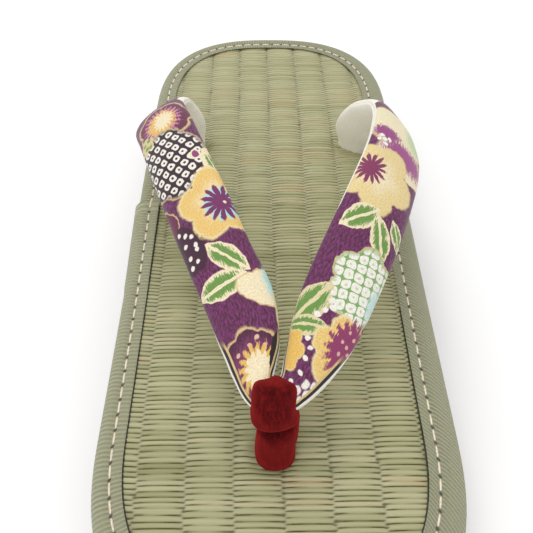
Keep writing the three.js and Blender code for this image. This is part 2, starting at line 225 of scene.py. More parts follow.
def tread(y):
    """The grooves' depth at y."""
    depth = np.zeros_like(y)
    for start, count in TREAD_FIELDS:
        for k in range(count):
            middle = (start + k * TREAD_PITCH + TREAD_GROOVE / 2) * (LENGTH - 2 * OUTSOLE_INSET) / LENGTH
            depth = np.maximum(depth, TREAD_DEPTH * (1 - smooth(*TREAD_WALL, np.abs(y - middle))))
    return depth


def outsole_top(y):
    return sole_lift(y) * OUTSOLE_FOLLOWS + OUTSOLE_THICK


outsole = sole_slab("outsole_sheet", lambda y: sole_lift(y) + tread(y), OUTSOLE_INSET,
                    outsole_top, OUTSOLE_INSET, along=520, rim=0.4)
# Moulded SBR rubber: almost black, matt, with a grain from the mould, drawn at 0.9 mm so that it shows.
rubber, tree, shader = finish_named("moulded SBR rubber, grained")
place = node(tree, "ShaderNodeTexCoord", out="Object")
grain = node(tree, "ShaderNodeTexVoronoi", {"Vector": place, "Scale": 1 / (0.9 * MM)})
dust = node(tree, "ShaderNodeTexNoise", {"Vector": place, "Scale": 60.0, "Detail": 6.0})
# On a Mix node of colours, 0 is the factor, 6 and 7 are the two colours, and the result is output 2.
shade = node(tree, "ShaderNodeMix", {0: dust, 6: linear("#1F1A17"), 7: linear("#3A322C")}, 2,
             data_type="RGBA")
bump = node(tree, "ShaderNodeBump", {"Height": grain, "Strength": 0.35, "Distance": 0.1 * MM})
tree.links.new(shade, shader.inputs["Base Color"])
tree.links.new(bump, shader.inputs["Normal"])
shader.inputs["Roughness"].default_value = 0.72
outsole.data.materials.append(rubber)
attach(outsole, "root")
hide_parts("rubber_outsole")

# ==== Foam wedge ====
# The core between outsole and mat, die-cut from EVA foam sheet and ground to a wedge, so its side
# shows fine closed cells. It is higher at the heel and narrows a little downwards. It is glued on.
BED_SLOPE = math.radians(2.5)
MAT_TOP_INSET = 4.6
WEDGE_FOOT_INSET = 3.6
WEDGE_TOP_INSET = 1.0
# The height of the bed's middle, found from the mat's high heel end.
BED_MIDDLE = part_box("rush_mat")[1][2] / MM - (LENGTH / 2 - MAT_TOP_INSET) * math.sin(BED_SLOPE)
MAT_THICK = 4.7
GAP = 0.35


def bed_under(y, below):
    """Height over the floor at y of a plane that lies below the bed's top."""
    return BED_MIDDLE + y * math.tan(BED_SLOPE) - below / math.cos(BED_SLOPE)


wedge = sole_slab("foam_wedge", lambda y: outsole_top(y) + GAP, WEDGE_FOOT_INSET,
                  lambda y: bed_under(y, MAT_THICK + GAP), WEDGE_TOP_INSET, along=260, rim=0.5)
# Closed-cell EVA: dull, warm brown, with cells opened by the cut, drawn at 0.8 mm so that they show,
# and painted shade in each opened cell.
foam, tree, shader = finish_named("cut closed-cell EVA foam")
place = node(tree, "ShaderNodeTexCoord", out="Object")
cells = node(tree, "ShaderNodeTexVoronoi", {"Vector": place, "Scale": 1 / (0.8 * MM)})
cloudy = node(tree, "ShaderNodeTexNoise", {"Vector": place, "Scale": 90.0, "Detail": 5.0})
shade = node(tree, "ShaderNodeMix", {0: cloudy, 6: linear("#6E5F4C"), 7: linear("#857560")}, 2,
             data_type="RGBA")
# Painted shade: the colour is darkened toward each cell's middle, where the bump dips.
painted_pit_shade = node(tree, "ShaderNodeMapRange", {"Value": cells, "From Max": 0.45, "To Min": 0.8})
shade = node(tree, "ShaderNodeMix", {0: 1.0, 6: shade, 7: painted_pit_shade}, 2, data_type="RGBA", blend_type="MULTIPLY")
bump = node(tree, "ShaderNodeBump", {"Height": cells, "Strength": 0.4, "Distance": 0.15 * MM})
tree.links.new(shade, shader.inputs["Base Color"])
tree.links.new(bump, shader.inputs["Normal"])
shader.inputs["Roughness"].default_value = 0.88
wedge.data.materials.append(foam)
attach(wedge, "root")
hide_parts("foam_midsole")

# ==== Rush mat ====
# The footbed is igusa rush woven over hemp warps, the same cloth as a tatami. The stalks lie across the
# sole, each swells between two warps and is pinched where it dives under one, and it is glued to the core.
WARP_PITCH = 12.05
WARP_PLACE = 0.7  # how far the warp nearest the middle stands to one side, at the ball of the foot
WARP_BALL = -63.1
WARP_DRIFT = math.tan(math.radians(0.79))  # the cloth was laid a little askew
RUSH_PITCH = 1.44
PINCHED = 0.62  # share of its width that a stalk keeps where it dives under a warp
STALK_RELIEF = 0.76  # how far a stalk's round top stands over the groove beside it
SWELL_RELIEF = 0.26  # how far the cloth swells between two warps
GROOVE_DEPTH = 0.68  # the deepest groove lies this far under the bed
HOLE_DIMPLE = 1.3  # how far the cloth is pulled down at a strap's hole
MAT_COLUMNS = 76
MAT_ROWS = 1150  # about seven for each stalk, so that its round top shows
MAT_EDGE_INSET = 5.5
MAT_HIDDEN_WALL = 4.0  # the mat's wall under the tape
SEAM_FROM_TIP = 1.6  # places from the heel are measured from a seam, this far in from the oval's tip
BED_FROM_HEEL = LENGTH / 2 - SEAM_FROM_TIP
WANDER_RUNS = 40  # columns further apart than this share a random run
TONE_TABLE = (64, 4096)  # lanes, and stalks in each, before the same shades come round again
HOLES = [
    # x, distance from the heel and radius, in mm
    {"x": 31.4, "from_heel": 75.5, "radius": 6.6},
    {"x": -31.6, "from_heel": 75.5, "radius": 6.6},
    {"x": -1.8, "from_heel": 198.8, "radius": 4.4},
]


def on_bed(x, y, up):
    """Points given in mm on the sloping bed, x across, y along it and up off it, as metres in the frame."""
    x, y, up = np.broadcast_arrays(x, y, up)
    tall = BED_MIDDLE + y * math.sin(BED_SLOPE) + up * math.cos(BED_SLOPE)
    return np.stack([x, y * math.cos(BED_SLOPE) - up * math.sin(BED_SLOPE), tall], axis=-1) * MM


def wander(seed, place, columns, wavelength):
    """A soft random value from -1 to 1 along place, with its own run for each column."""
    dice = np.random.default_rng(seed)
    total = np.zeros_like(place)
    for octave in range(4):
        phase = dice.uniform(0, 2 * math.pi, WANDER_RUNS)[columns % WANDER_RUNS]
        rate = 2 * math.pi / wavelength * (1.7 ** octave)
        total += np.sin(place * rate + phase) / (1.4 ** octave)
    return total / 2.6  # the four octaves' heights sum to this


bpy.ops.object.select_all(action="DESELECT")
bpy.ops.mesh.primitive_grid_add(x_subdivisions=MAT_COLUMNS, y_subdivisions=MAT_ROWS, size=2)
mat = bpy.context.object
mat.name = "igusa_mat"
unit = points_of(mat)
mat_y = unit[:, 1] * (LENGTH / 2 - MAT_EDGE_INSET - 1)
mat_x = unit[:, 0] * half_width(mat_y, MAT_EDGE_INSET)
lane = (mat_x - WARP_PLACE + WARP_DRIFT * (mat_y - WARP_BALL)) / WARP_PITCH
column = np.floor(lane).astype(int)
share = lane - column
swell = np.clip(np.sin(np.pi * share), 0, 1) ** 0.3
shared_wander = wander(11, mat_y, np.zeros_like(column), 21.0)
own_wander = wander(12, mat_y, column, 9.0)
slant = (share - 0.5) * 0.18 * wander(13, mat_y, column, 33.0)
# Lanes side by side are half a stalk apart, and each stalk wanders and slants a little.
stalk = mat_y / RUSH_PITCH + 0.5 * (column % 2) + 0.22 * shared_wander + 0.12 * own_wander + slant
stalk_number = np.floor(stalk).astype(int)
across_stalk = np.abs(stalk - stalk_number - 0.5) * 2
fat = PINCHED + (1 - PINCHED) * swell
round_top = np.sqrt(np.clip(1 - (across_stalk / fat) ** 2, 0, 1))
relief = STALK_RELIEF * swell * round_top + SWELL_RELIEF * swell - GROOVE_DEPTH
for hole in HOLES:
    away = np.hypot(mat_x - hole["x"], mat_y - (BED_FROM_HEEL - hole["from_heel"]))
    relief -= HOLE_DIMPLE * (1 - smooth(hole["radius"] - 1.2, hole["radius"] + 2.6, away))
put_points(mat, on_bed(mat_x, mat_y, relief))
tones = np.random.default_rng(5).random(TONE_TABLE)
tones = 0.45 * tones + 0.55 * tones[:1]  # one stalk runs on under the warps, so it keeps most of its shade
mat.data.attributes.new("stalk_tone", "FLOAT", "POINT").data.foreach_set(
    "value", tones[column % TONE_TABLE[0], stalk_number % TONE_TABLE[1]])
mat.data.attributes.new("hollow", "FLOAT", "POINT").data.foreach_set(
    "value", 1 - round_top * (0.35 + 0.65 * swell))

bpy.ops.object.mode_set(mode="EDIT")
bpy.ops.mesh.select_mode(type="EDGE")
bpy.ops.mesh.select_all(action="DESELECT")
bpy.ops.mesh.select_non_manifold()
bpy.ops.mesh.extrude_region_move(TRANSFORM_OT_translate={"value": (0, 0, -MAT_HIDDEN_WALL * MM)})
bpy.ops.mesh.edge_face_add()
face_outwards()
bpy.ops.object.shade_smooth_by_angle(angle=math.radians(75))

# Dried rush: pale grey-green going to straw, each stalk its own shade, faintly glossy, with streaks
# 14 mm long and 0.4 mm wide along it, and brown shadow in the pinches.
rush, tree, shader = finish_named("woven igusa rush, dried")
place = node(tree, "ShaderNodeTexCoord", out="Object")
tone = node(tree, "ShaderNodeAttribute", out="Fac", attribute_name="stalk_tone")
deep = node(tree, "ShaderNodeAttribute", out="Fac", attribute_name="hollow")
along = node(tree, "ShaderNodeMapping", {"Vector": place, "Scale": (70.0, 2600.0, 600.0)})
streak = node(tree, "ShaderNodeTexNoise", {"Vector": along, "Scale": 1.0, "Detail": 4.0, "Roughness": 0.6})
drift = node(tree, "ShaderNodeTexNoise", {"Vector": place, "Scale": 22.0, "Detail": 3.0})
mixed = node(tree, "ShaderNodeMath", {0: tone, 1: drift}, operation="ADD")
mixed = node(tree, "ShaderNodeMath", {0: mixed, 1: streak}, operation="ADD")
ramp_at = node(tree, "ShaderNodeMapRange", {"Value": mixed, "From Min": 0.75, "From Max": 2.15})
RUSH_TONES = [(0.0, "#8B885D"), (0.25, "#9E9C72"), (0.55, "#AAA981"), (0.8, "#B5B08A"), (1.0, "#B39E70")]


def ramp_of(tree, at, tones):
    """A colour ramp read at one value: tones are rows of place and hex colour."""
    made = tree.nodes.new("ShaderNodeValToRGB")
    tree.links.new(at, made.inputs["Fac"])
    stops = made.color_ramp.elements
    stops[0].position, stops[0].color = tones[0][0], linear(tones[0][1])
    stops[1].position, stops[1].color = tones[-1][0], linear(tones[-1][1])
    for spot, code in tones[1:-1]:
        stops.new(spot).color = linear(code)
    return made.outputs["Color"]


stalks = ramp_of(tree, ramp_at, RUSH_TONES)
dark = node(tree, "ShaderNodeMapRange", {"Value": deep, "From Min": 0.34, "From Max": 0.95, "To Max": 0.92},
            interpolation_type="SMOOTHSTEP")
shade = node(tree, "ShaderNodeMix", {0: dark, 6: stalks, 7: linear("#57522F")}, 2, data_type="RGBA")
bump = node(tree, "ShaderNodeBump", {"Height": streak, "Strength": 0.5, "Distance": 0.12 * MM})
tree.links.new(shade, shader.inputs["Base Color"])
tree.links.new(bump, shader.inputs["Normal"])
shader.inputs["Roughness"].default_value = 0.5
mat.data.materials.append(rush)
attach(mat, "root")
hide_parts("rush_mat")

# ==== Edge tape ====
# A ribbed grosgrain tape is folded over the mat's cut edge and sewn through, so it puffs up outside the
# seam. Its two ends lap on the left side, where the front end lies over the rear one and stands proud.
TAPE_RINGS = 256
TAPE_SIDES = 30
TAPE_OUTSIDE = 22  # the sides of the section that show, the rest lie against the mat
TAPE_ROLL = 3.2
TAPE_FOOT = 2.0
TAPE_STANDS = 0.85  # the fold keeps this far inside the oval, less its thickness
TAPE_LIES = 0.30  # the tape's inside is this far over the bed
TAPE_THICK = 0.75
TAPE_BACK = 0.12  # the section's inside is this far from where the tape lies
TAPE_THIN_EDGE = {"until": 0.5, "share": 0.75}  # the folded inner edge is pressed thinner
PUFF = {"high": 0.45, "outside_seam": 2.1, "reach": 1.5}
SEAM_PULL = {"deep": 0.5, "reach": 0.65}
LAP_Y = 11.9
LAP_FADE = 36.0
LAP_STEP = 0.2  # how far the step stands up where it fades out
LAP_SWELL = 0.95  # and how much more at the lap itself
LAP_HALF_STEP = 0.0012  # half the turn over which the step is made
RIM_STEPS = 20000  # the rim is measured in this many steps
NUDGE = 0.002  # a small turn, to find which way the rim runs
RIB_PITCH = 1.25
RIB_SKEW = 0.9  # on the right side the tape was pulled askew


def oval(turn, inset):
    """The oval's point at a turn from the heel, going down the left side, drawn in by inset, in mm."""
    y = np.cos(turn) * (LENGTH / 2 - inset)
    return -np.sign(np.sin(turn)) * half_width(y, inset), y


def even_turns(count):
    """Turns that step evenly round the oval, with the run in mm to each and the whole way round."""
    turn = np.linspace(0, 2 * math.pi, RIM_STEPS + 1)
    x, y = oval(turn, 0.0)
    run = np.concatenate([[0], np.cumsum(np.hypot(np.diff(x), np.diff(y)))])
    even = np.linspace(0, run[-1], count, endpoint=False)
    return np.interp(even, run, turn), even, run[-1]


def tape_reach(x):
    """The tape comes in a little further on the right side than on the left."""
    return 7.85 + 0.85 * x / HEEL_HALF_WIDTH


def seam_inset(x):
    """The seam runs closer to the edge on the left side than on the right."""
    return 5.0 + 1.0 * x / HEEL_HALF_WIDTH


def lap_height(x, y):
    """How far the front end of the tape stands over the rear one, from the lap towards the toe."""
    share = np.clip(1 - (LAP_Y - y) / LAP_FADE, 0, 1)
    return np.where((x < 0) & (y < LAP_Y) & (share > 0), LAP_STEP + LAP_SWELL * share, 0.0)


bpy.ops.object.select_all(action="DESELECT")
bpy.ops.mesh.primitive_torus_add(major_segments=TAPE_RINGS, minor_segments=TAPE_SIDES)
tape = bpy.context.object
tape.name = "grosgrain_tape"
ring, side = np.divmod(np.arange(TAPE_RINGS * TAPE_SIDES), TAPE_SIDES)
ring_turn, ring_run, rim_length = even_turns(TAPE_RINGS)
# Two rings stand close together at the lap, so the step there is sharp.
lap_turn = math.acos(LAP_Y * 2 / LENGTH)
lap_ring = np.searchsorted(ring_turn, lap_turn) - 1
ring_turn[lap_ring], ring_turn[lap_ring + 1] = lap_turn - LAP_HALF_STEP, lap_turn + LAP_HALF_STEP
rim_x, rim_y = oval(ring_turn[ring], 0.0)
flat = tape_reach(rim_x) - TAPE_ROLL
rolled = TAPE_ROLL * math.pi / 2
# A share of the way over the outside, from the inner edge to the foot, and back along the mat.
over = np.where(side < TAPE_OUTSIDE, side / (TAPE_OUTSIDE - 1),
                1 - (side - TAPE_OUTSIDE + 1) / (TAPE_SIDES - TAPE_OUTSIDE + 1))
run_in = over * (flat + rolled + TAPE_FOOT)
bend = np.clip((run_in - flat) / rolled, 0, 1) * math.pi / 2
inset = np.where(run_in < flat, flat + TAPE_ROLL - run_in, TAPE_ROLL * (1 - np.sin(bend)))
rise = -TAPE_ROLL * (1 - np.cos(bend)) - np.clip(run_in - flat - rolled, 0, None)
seam = seam_inset(rim_x)
puff = PUFF["high"] * np.exp(-((inset - seam + PUFF["outside_seam"]) / PUFF["reach"]) ** 2)
pulled = SEAM_PULL["deep"] * np.exp(-((inset - seam) / SEAM_PULL["reach"]) ** 2)
pressed = np.where(run_in < TAPE_THIN_EDGE["until"], TAPE_THIN_EDGE["share"], 1)
thick = (TAPE_THICK + puff - pulled) * pressed + lap_height(rim_x, rim_y)
thick = np.where(side < TAPE_OUTSIDE, thick, TAPE_BACK)
inset = inset + TAPE_STANDS - thick * np.sin(bend)
rise = rise + TAPE_LIES + thick * np.cos(bend)
x, y = oval(ring_turn[ring], inset)
put_points(tape, on_bed(x, y, rise))
corner_vertex = np.empty(len(tape.data.loops), dtype=int)
tape.data.loops.foreach_get("vertex_index", corner_vertex)
corner_run = ring_run[ring[corner_vertex]]
last_faces = np.arange(len(corner_vertex)) // 4 // TAPE_SIDES == TAPE_RINGS - 1
corner_run = np.where(last_faces & (ring[corner_vertex] == 0), rim_length, corner_run)
ring_end, ring_start = oval(ring_turn + NUDGE, 0.0), oval(ring_turn - NUDGE, 0.0)
tangent = np.column_stack([ring_end[0] - ring_start[0], ring_end[1] - ring_start[1]])
tangent /= np.hypot(tangent[:, 0], tangent[:, 1])[:, None]
beside_ring = (x - rim_x) * tangent[ring, 0] + (y - rim_y) * tangent[ring, 1]
askew = RIB_SKEW * smooth(-10.0, 30.0, rim_x) * inset
tape.data.attributes.new("rib_run", "FLOAT", "CORNER").data.foreach_set(
    "value", corner_run + (beside_ring - askew)[corner_vertex])
sewn = np.column_stack([corner_run, inset[corner_vertex] - seam[corner_vertex] - TAPE_STANDS])
tape.data.uv_layers.active.data.foreach_set("uv", sewn.ravel())
face_outwards()
bpy.ops.object.shade_smooth_by_angle(angle=math.radians(50))

# Cotton grosgrain: grey-green, dull, ribbed across its length, painted lighter on the ribs and with painted
# shade between them, and with a dark spot of painted shade for a needle hole at each end of each stitch. The
# UV map is in
# mm: along the seam, and out from it.
STITCH_PITCH = 4.55
grosgrain, tree, shader = finish_named("cotton grosgrain tape")
cloth = node(tree, "ShaderNodeUVMap")
parts = tree.nodes.new("ShaderNodeSeparateXYZ")
tree.links.new(cloth, parts.inputs["Vector"])
run, out = parts.outputs["X"], parts.outputs["Y"]
skew = node(tree, "ShaderNodeAttribute", out="Fac", attribute_name="rib_run")
wave = node(tree, "ShaderNodeMath", {0: skew, 1: 2 * math.pi / RIB_PITCH}, operation="MULTIPLY")
wave = node(tree, "ShaderNodeMath", {0: wave}, operation="SINE")
fuzz = node(tree, "ShaderNodeTexNoise", {"Vector": cloth, "Scale": 2.2, "Detail": 5.0, "Roughness": 0.7})
faded = node(tree, "ShaderNodeTexNoise", {"Vector": cloth, "Scale": 0.12, "Detail": 3.0})
ribs = node(tree, "ShaderNodeMapRange", {"Value": wave, "From Min": -1.0, "From Max": 1.0})
ribs = node(tree, "ShaderNodeMath", {0: fuzz, 1: 0.55, 2: ribs}, operation="MULTIPLY_ADD")
# The ribs' colour follows their bump: painted lighter on the rib tops and painted shade between them.
tones = ramp_of(tree, ribs, [(0.12, "#62644A"), (0.5, "#989A7B"), (1.0, "#B4B494")])
tones = node(tree, "ShaderNodeMix", {0: faded, 6: tones, 7: linear("#A3A284")}, 2, data_type="RGBA")
phase = node(tree, "ShaderNodeMath", {0: run, 1: STITCH_PITCH}, operation="FLOORED_MODULO")
beside = node(tree, "ShaderNodeMath", {0: phase, 1: STITCH_PITCH / 2}, operation="SUBTRACT")
beside = node(tree, "ShaderNodeMath", {0: beside}, operation="ABSOLUTE")
beside = node(tree, "ShaderNodeMath", {0: STITCH_PITCH / 2, 1: beside}, operation="SUBTRACT")
spot = node(tree, "ShaderNodeCombineXYZ", {"X": beside, "Y": out})
spot = node(tree, "ShaderNodeVectorMath", {0: spot}, "Value", operation="LENGTH")
# A dark spot at each end of each stitch: painted shade for a needle hole, which is not modelled.
hole = node(tree, "ShaderNodeMapRange", {"Value": spot, "From Min": 0.25, "From Max": 0.65, "To Min": 0.85,
                                         "To Max": 0.0}, interpolation_type="SMOOTHSTEP")
shade = node(tree, "ShaderNodeMix", {0: hole, 6: tones, 7: linear("#3A3530")}, 2, data_type="RGBA")
bump = node(tree, "ShaderNodeBump", {"Height": ribs, "Strength": 1.0, "Distance": 0.42 * MM})
tree.links.new(shade, shader.inputs["Base Color"])
tree.links.new(bump, shader.inputs["Normal"])
shader.inputs["Roughness"].default_value = 0.9
shader.inputs["Sheen Weight"].default_value = 0.15
tape.data.materials.append(grosgrain)
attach(tape, "root")
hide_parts("edge_tape")

# ==== Stitches ====
# The seam that holds the tape is a lockstitch in cream cotton thread. Each stitch lies in the seam's
# trough, pulled down at both ends where the needle went through.
STITCH_LENGTH = 4.15
STITCH_WIDTH = 0.64
STITCH_BLUNT = 0.55  # 1 is an oval, less is blunter at the ends
STITCH_DIP = 0.35  # how far an end is pulled down
STITCH_UP = 0.33  # a stitch's middle is this far over the tape's inside
bpy.ops.object.select_all(action="DESELECT")
bpy.ops.mesh.primitive_uv_sphere_add(segments=8, ring_count=8, radius=0.5, rotation=(0, math.pi / 2, 0))
bpy.ops.object.transform_apply(location=False, rotation=True, scale=False)
stitches = bpy.context.object
stitches.name = "seam_stitches"
one = points_of(stitches)
one[:, 0] = np.sign(one[:, 0]) * np.abs(one[:, 0] * 2) ** STITCH_BLUNT / 2 * STITCH_LENGTH
one[:, 1] *= STITCH_WIDTH
one[:, 2] = one[:, 2] * STITCH_WIDTH - STITCH_DIP * np.abs(one[:, 0] * 2 / STITCH_LENGTH) ** 2.5
stitch_count = int(rim_length / STITCH_PITCH)
stitch_middles = (np.arange(stitch_count) + 0.5) * STITCH_PITCH
turn_at = np.interp(stitch_middles, np.append(ring_run, rim_length), np.append(ring_turn, 2 * math.pi))
rows = []
for turn in turn_at:
    edge_x, edge_y = oval(turn, 0.0)
    here = seam_inset(edge_x)
    middle = np.array(oval(turn, here + TAPE_STANDS))
    ahead = np.array(oval(turn + 2 * NUDGE, here + TAPE_STANDS)) - middle
    ahead /= np.hypot(*ahead)
    beside = np.array([-ahead[1], ahead[0]])
    spot = middle + one[:, :1] * ahead + one[:, 1:2] * beside
    tall = TAPE_LIES + STITCH_UP + lap_height(edge_x, edge_y) + one[:, 2]
    rows.append(on_bed(spot[:, 0], spot[:, 1], tall))
bpy.ops.object.modifier_add(type="ARRAY")
stitches.modifiers[0].count = stitch_count
bpy.ops.object.modifier_apply(modifier=stitches.modifiers[0].name)
put_points(stitches, np.concatenate(rows))
bpy.ops.object.shade_smooth()
# Mercerised cotton thread: cream, a little glossy, and mottled by its twist.
thread, tree, shader = finish_named("cream cotton sewing thread")
place = node(tree, "ShaderNodeTexCoord", out="Object")
twist = node(tree, "ShaderNodeTexNoise", {"Vector": place, "Scale": 2500.0, "Detail": 2.0})
shade = ramp_of(tree, twist, [(0.3, "#D2BEA6"), (0.55, "#EFE2CE"), (0.8, "#F7EEDF")])
tree.links.new(shade, shader.inputs["Base Color"])
shader.inputs["Roughness"].default_value = 0.6
stitches.data.materials.append(thread)
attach(stitches, "root")

# ==== Hem thread ====
# Round the forefoot a row of small stitches in dark polyester thread runs along the tape's inner edge,
# against the mat, and neatens the fold there.
HEM_PITCH = 1.9
HEM_COVER = 0.9  # share of the pitch that a stitch covers
HEM_THICK = 0.4
HEM_REACH = 0.1  # inside the tape's edge
HEM_UP = 0.2
HEM_RIGHT_END = -35.0  # on the right it ends here, and on the left it ends at the lap
hem_legs = int(rim_length / HEM_PITCH)
bpy.ops.object.select_all(action="DESELECT")
bpy.ops.mesh.primitive_cylinder_add(vertices=6, radius=0.5, depth=1, rotation=(0, math.pi / 2, 0))
bpy.ops.object.transform_apply(location=False, rotation=True, scale=False)
hem = bpy.context.object
hem.name = "hem_thread"
leg = points_of(hem)
hem_rows = []
for number in range(hem_legs):
    ends = []
    for step in (number, number + 1):
        turn = np.interp(step * rim_length / hem_legs, np.append(ring_run, rim_length),
                         np.append(ring_turn, 2 * math.pi))
        edge_x, edge_y = oval(turn, 0.0)
        edge = tape_reach(edge_x) + TAPE_STANDS
        ends.append(np.array([*oval(turn, edge + HEM_REACH), HEM_UP]))
    if edge_y > (LAP_Y if edge_x < 0 else HEM_RIGHT_END):
        continue
    run_to = ends[1] - ends[0]
    across = np.array([-run_to[1], run_to[0], 0]) / np.hypot(*run_to[:2])
    spot = (ends[0] + ends[1]) / 2 + HEM_COVER * leg[:, :1] * run_to + HEM_THICK * leg[:, 1:2] * across
    hem_rows.append(on_bed(spot[:, 0], spot[:, 1], spot[:, 2] + HEM_THICK * leg[:, 2]))
bpy.ops.object.modifier_add(type="ARRAY")
hem.modifiers[0].count = len(hem_rows)
bpy.ops.object.modifier_apply(modifier=hem.modifiers[0].name)
put_points(hem, np.concatenate(hem_rows))
bpy.ops.object.shade_smooth_by_angle(angle=math.radians(60))
# Spun polyester overlock thread: dark olive, dull.
overlock, tree, shader = finish_named("dark olive overlock thread")
shader.inputs["Base Color"].default_value = linear("#45463A")
shader.inputs["Roughness"].default_value = 0.9
hem.data.materials.append(overlock)
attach(hem, "root")

# ==== Hanao straps ====
# Both straps and the neck that joins them are one long cotton pad, covered above with printed silk crepe
# and below with white cotton, the crepe turned under at both edges. The ends go down through the mat at
# the rear, folded over so that the white side faces forward.
# Rows run from a rear hole to the neck: x, from the heel, up off the bed, width, thickness, turn (the way
# that the outer edge points, from straight out to the toe) and tilt (how far it hangs), in mm and degrees.
RIGHT_STRAP = [
    (31.4, 75.5, -4.6, 12.0, 8.0, 30, 0),
    (31.4, 75.5, 0.8, 12.6, 8.2, 30, 0),
    (31.6, 77.6, 7.4, 17.0, 8.2, 22, 12),
    (34.4, 83.0, 15.0, 19.0, 7.4, 12, 46),
    (37.6, 91.0, 20.8, 19.5, 7.0, 8, 57),
    (38.4, 102.0, 25.8, 20.0, 6.8, 12, 49),
    (36.6, 115.0, 29.6, 20.5, 6.8, 14, 42),
    (33.0, 128.0, 31.0, 20.6, 6.8, 18, 37),
    (25.2, 147.5, 30.0, 20.4, 6.8, 23, 30),
    (15.8, 167.5, 25.8, 19.2, 6.8, 22, 22),
    (11.0, 178.0, 22.8, 16.8, 6.8, 27, 18),
    (6.8, 186.4, 20.8, 12.6, 6.6, 42, 24),
    (3.0, 192.0, 20.0, 8.8, 5.8, 64, 38),
]
LEFT_STRAP = [
    (-31.6, 75.5, -4.6, 12.0, 8.0, 30, 0),
    (-31.6, 75.5, 0.8, 12.6, 8.2, 30, 0),
    (-32.6, 77.0, 8.0, 17.0, 7.6, 28, 6),
    (-36.0, 82.3, 17.2, 19.2, 6.2, 30, 20),
    (-38.0, 91.2, 23.0, 19.8, 6.2, 24, 27),
    (-34.5, 103.5, 27.2, 19.6, 6.8, 16, 30),
    (-28.8, 120.5, 29.2, 19.4, 6.8, 18, 30),
    (-21.2, 141.0, 29.0, 19.2, 6.8, 18, 28),
    (-14.9, 157.0, 27.2, 18.2, 6.8, 18, 22),
    (-9.6, 169.0, 24.4, 18.0, 6.8, 22, 18),
    (-6.9, 179.5, 22.0, 15.2, 6.8, 34, 20),
    (-5.9, 186.5, 20.7, 11.8, 6.4, 50, 28),
    (-4.6, 191.6, 20.0, 8.8, 5.8, 68, 40),
]
NECK = (-1.4, 194.4, 19.6, 7.4, 5.2, 90, 48)
STRAP_SEGMENTS = 96
STRAP_RINGS = 520
STRAP_STEPS = 6000  # the strap's middle line is measured in this many steps
CROWN_SHARE = 0.6  # how much of the thickness stands above the strap's widest line
STRAP_POWER = 2.3  # 2 is an ellipse, more is squarer
NIP = {"deep": 0.07, "reach": math.radians(4)}  # the seam where the crepe is turned under
DENT = {"deep": 0.18, "short": 2.9, "long": 7.3}  # soft dimples in the padding
EDGE_TURN = math.radians(6)  # the crepe is turned under this far past the strap's widest line


def strap_row(row, side):
    """One row as numbers: its place on the bed, the way to its outer edge, its width and its thickness."""
    x, from_heel, up, width, thick, turn, tilt = row
    turn, tilt = math.radians(turn), math.radians(tilt)
    across = (side * math.cos(turn) * math.cos(tilt), -math.sin(turn) * math.cos(tilt), -math.sin(tilt))
    return (x, BED_FROM_HEEL - from_heel, up, *across, width, thick)


strap_rows = np.array([strap_row(r, 1) for r in RIGHT_STRAP] + [strap_row(NECK, 1)]
                      + [strap_row(r, -1) for r in reversed(LEFT_STRAP)])


def strap_path(shares):
    """The strap's rows at shares from 0 to 1 of the way, smoothed by Catmull-Rom."""
    spot = np.asarray(shares) * (len(strap_rows) - 1)
    first = np.minimum(np.floor(spot).astype(int), len(strap_rows) - 2)
    t = (spot - first)[:, None]
    p0, p1, p2, p3 = [strap_rows[np.clip(first + k, 0, len(strap_rows) - 1)] for k in (-1, 0, 1, 2)]
    return 0.5 * (2 * p1 + (p2 - p0) * t + (2 * p0 - 5 * p1 + 4 * p2 - p3) * t ** 2
                  + (3 * p1 - p0 - 3 * p2 + p3) * t ** 3)


def unit_rows(rows):
    """Rows brought to a length of 1."""
    return rows / np.linalg.norm(rows, axis=-1, keepdims=True)


def squarer(value):
    """A sine or cosine pushed out, so that the round drawn with it fills out to the strap's section."""
    return np.sign(value) * np.abs(value) ** (2 / STRAP_POWER)


# Rings that stand evenly along the strap.
dense_share = np.linspace(0, 1, STRAP_STEPS + 1)
dense = strap_path(dense_share)
dense_run = np.concatenate([[0], np.cumsum(np.linalg.norm(np.diff(dense[:, :3], axis=0), axis=1))])
ring_share = np.interp(np.linspace(0, dense_run[-1], STRAP_RINGS + 1), dense_run, dense_share)
strap = strap_path(ring_share)
middle, width, thick = strap[:, :3], strap[:, 6], strap[:, 7]
ahead = unit_rows(np.gradient(middle, axis=0))
across = unit_rows(strap[:, 3:6])
across = unit_rows(across - ahead * np.sum(across * ahead, axis=1, keepdims=True))
upward = np.cross(ahead, across)
neck_run = np.interp(len(RIGHT_STRAP) / (len(strap_rows) - 1), dense_share, dense_run)
ring_run = np.linspace(0, dense_run[-1], STRAP_RINGS + 1) - neck_run

bpy.ops.object.select_all(action="DESELECT")
bpy.ops.mesh.primitive_uv_sphere_add(segments=STRAP_SEGMENTS, ring_count=STRAP_RINGS)
hanao = bpy.context.object
hanao.name = "hanao_pad"
ball = points_of(hanao)
ring = np.rint(np.arccos(np.clip(ball[:, 2], -1, 1)) / math.pi * STRAP_RINGS).astype(int)
spin = np.mod(np.arctan2(ball[:, 1], ball[:, 0]), 2 * math.pi)
pole = (ring == 0) | (ring == STRAP_RINGS)
c, s = np.cos(spin), np.sin(spin)
lining_side = s < 0
bulge = np.where(lining_side, 1 - CROWN_SHARE, CROWN_SHARE)
out = squarer(c) * width[ring] / 2
high = squarer(s) * thick[ring] * bulge
past_edge = np.minimum(np.abs(spin - (2 * math.pi - EDGE_TURN)), np.abs(spin - (math.pi + EDGE_TURN)))
nip = 1 - NIP["deep"] * np.exp(-(past_edge / NIP["reach"]) ** 2)
out, high = out * nip, high * nip
dent = np.sin(ring_run[ring] / DENT["short"] + 2 * s) * np.sin(ring_run[ring] / DENT["long"] + 1.7 * c)
dent = DENT["deep"] * dent
high = high + np.where(lining_side, -dent, dent) * np.abs(s)
out, high = np.where(pole, 0, out), np.where(pole, 0, high)
where = middle[ring] + across[ring] * out[:, None] + upward[ring] * high[:, None]
put_points(hanao, on_bed(where[:, 0], where[:, 1], where[:, 2]))
